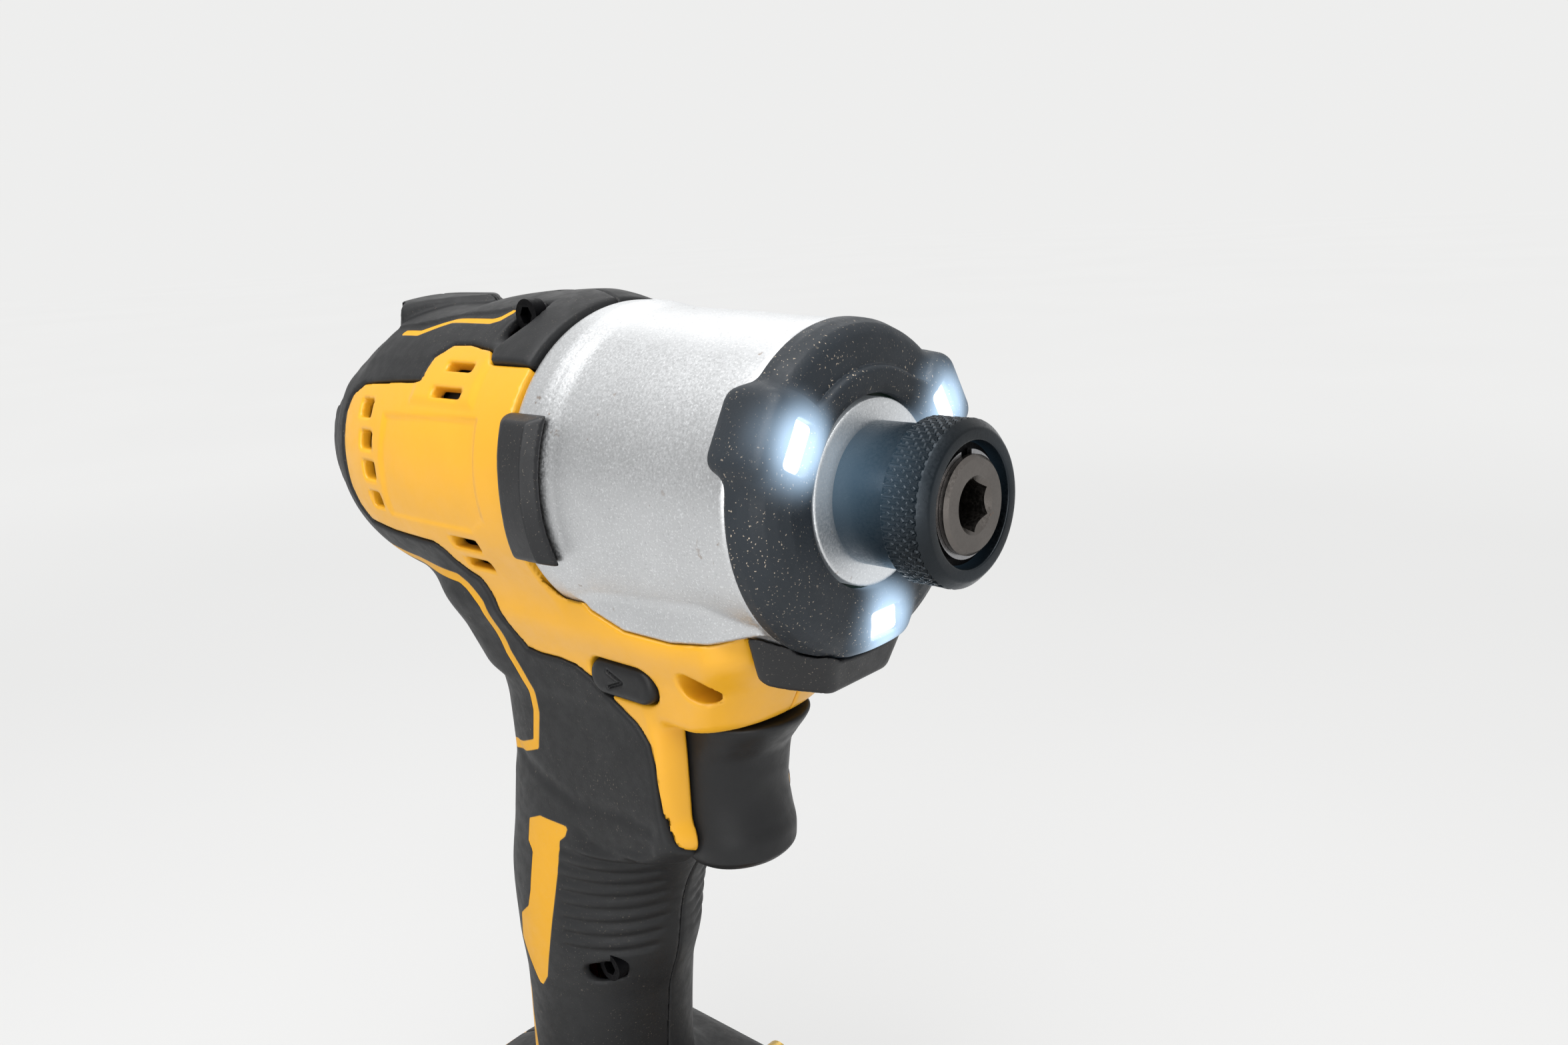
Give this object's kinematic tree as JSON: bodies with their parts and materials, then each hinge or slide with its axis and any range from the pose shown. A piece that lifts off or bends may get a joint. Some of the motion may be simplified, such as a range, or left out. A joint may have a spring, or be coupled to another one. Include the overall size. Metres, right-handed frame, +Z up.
{
  "type": "cordless impact driver",
  "caption": "Compact cordless impact driver with a hex bit collet, hammer and anvil drive, trigger, direction selector and a slide-on battery pack.",
  "frame": {"origin": "on the flat base of the battery pack, under the grip, in the tool's middle plane", "axes": "+X forward to the bit, +Y to the tool's left, +Z up"},
  "size_m": [0.1292, 0.076, 0.2123],
  "materials": {
    "yellow_shell": "satin",
    "black_grip": "matt",
    "silver_case": "cast, fine metallic paint",
    "black_boot": "matt",
    "lamp_lens": "frosted",
    "circuit_board": "satin",
    "tool_steel": "ground",
    "bright_steel": "polished",
    "black_steel": "black oxide",
    "spring_steel": "drawn",
    "bronze": "sintered",
    "plated_brass": "turned",
    "copper_wire": "enamelled",
    "lamination": "stacked",
    "black_plastic": "moulded",
    "dark_plastic": "moulded",
    "lead_jacket": "satin",
    "cell_wrap": "sleeved",
    "latch_yellow": "satin"
  },
  "bodies": {
    "housing": {"housing_right": "yellow_shell", "housing_left": "yellow_shell", "overmould_right": "black_grip", "overmould_left": "black_grip", "gear_case": "silver_case", "nose_bumper": "black_boot", "chin_cover": "black_plastic", "lamp_board": "circuit_board", "lamp_lenses": "lamp_lens", "side_bumpers": "black_boot", "anvil_bush": "bronze", "thrust_washer": "bright_steel", "ring_gear": "tool_steel", "bearing_plate": "dark_plastic", "spindle_bearing": "bright_steel", "front_bearing": "bright_steel", "rear_bearing": "bright_steel", "stator": "lamination", "windings": "copper_wire", "sensor_board": "circuit_board", "switch_body": "dark_plastic", "trigger_spring": "spring_steel", "controller": "circuit_board", "terminal_block": "dark_plastic", "motor_leads": "lead_jacket", "housing_screws": "black_steel", "hook_inserts": "plated_brass"},
    "spindle": {"cam_spindle": "tool_steel", "cam_balls": "bright_steel", "planet_pins": "bright_steel", "hammer_spring": "spring_steel"},
    "planet_1": {"planet_gear_1": "tool_steel"},
    "planet_2": {"planet_gear_2": "tool_steel"},
    "planet_3": {"planet_gear_3": "tool_steel"},
    "hammer": {"hammer": "tool_steel"},
    "anvil": {"anvil": "tool_steel", "snap_ring": "spring_steel", "collet_washer": "black_steel", "collet_spring": "spring_steel"},
    "collet": {"collet_sleeve": "black_steel"},
    "ball_right": {"bit_ball_right": "bright_steel"},
    "ball_left": {"bit_ball_left": "bright_steel"},
    "rotor": {"rotor_shaft": "bright_steel", "rotor_core": "lamination", "fan": "black_plastic"},
    "trigger": {"trigger": "black_plastic"},
    "selector": {"direction_selector": "black_plastic"},
    "battery": {"pack_base": "black_plastic", "pack_top": "black_plastic", "pack_cells": "cell_wrap", "cell_holder": "dark_plastic", "pack_contacts": "plated_brass", "pack_screws": "black_steel", "latch_spring": "spring_steel"},
    "latch": {"pack_latch": "latch_yellow"}
  },
  "joints": [
    {"name": "trigger_pull", "type": "slide", "parent": "housing", "child": "trigger", "axis": [-1, 0, 0], "range_m": [0, 0.0065], "stiffness_N_per_m": 1000, "springref_m": -0.004, "deforming": ["trigger_spring"]},
    {"name": "selector_slide", "type": "slide", "parent": "housing", "child": "selector", "axis": [0, 1, 0], "range_m": [0, 0.004]},
    {"name": "spindle_spin", "type": "hinge", "parent": "housing", "child": "spindle", "pos_m": [0.02, 0, 0.184], "axis": [1, 0, 0], "continuous": true},
    {"name": "anvil_spin", "type": "hinge", "parent": "housing", "child": "anvil", "pos_m": [0.06, 0, 0.184], "axis": [1, 0, 0], "continuous": true},
    {"name": "rotor_spin", "type": "hinge", "parent": "housing", "child": "rotor", "pos_m": [-0.01, 0, 0.184], "axis": [1, 0, 0], "continuous": true},
    {"name": "planet_1_spin", "type": "hinge", "parent": "spindle", "child": "planet_1", "pos_m": [0.02, 0, 0.1732], "axis": [1, 0, 0], "continuous": true},
    {"name": "planet_2_spin", "type": "hinge", "parent": "spindle", "child": "planet_2", "pos_m": [0.02, 0.00935, 0.1894], "axis": [1, 0, 0], "continuous": true},
    {"name": "planet_3_spin", "type": "hinge", "parent": "spindle", "child": "planet_3", "pos_m": [0.02, -0.00935, 0.1894], "axis": [1, 0, 0], "continuous": true},
    {"name": "hammer_slide", "type": "slide", "parent": "spindle", "child": "hammer", "axis": [-1, 0, 0], "range_m": [0, 0.005], "stiffness_N_per_m": 6000, "springref_m": -0.004, "deforming": ["hammer_spring"]},
    {"name": "sleeve_slide", "type": "slide", "parent": "anvil", "child": "collet", "axis": [1, 0, 0], "range_m": [0, 0.004], "stiffness_N_per_m": 1500, "springref_m": -0.003, "deforming": ["collet_spring"]},
    {"name": "ball_right_slide", "type": "slide", "parent": "anvil", "child": "ball_right", "axis": [0, -1, 0], "range_m": [0, 0.001]},
    {"name": "ball_left_slide", "type": "slide", "parent": "anvil", "child": "ball_left", "axis": [0, 1, 0], "range_m": [0, 0.001]},
    {"name": "pack_slide", "type": "slide", "parent": "housing", "child": "battery", "axis": [1, 0, 0], "range_m": [0, 0.08]},
    {"name": "latch_press", "type": "slide", "parent": "battery", "child": "latch", "axis": [0, 0, -1], "range_m": [0, 0.003], "stiffness_N_per_m": 1500, "springref_m": -0.002, "deforming": ["latch_spring"]}
  ],
  "couplings": [
    {"joint": "anvil_spin", "follows": "spindle_spin", "ratio": 1},
    {"joint": "rotor_spin", "follows": "spindle_spin", "ratio": 4.5},
    {"joint": "planet_1_spin", "follows": "spindle_spin", "ratio": -2.8},
    {"joint": "planet_2_spin", "follows": "spindle_spin", "ratio": -2.8},
    {"joint": "planet_3_spin", "follows": "spindle_spin", "ratio": -2.8},
    {"joint": "ball_right_slide", "follows": "sleeve_slide", "ratio": 0.25},
    {"joint": "ball_left_slide", "follows": "sleeve_slide", "ratio": 0.25}
  ]
}
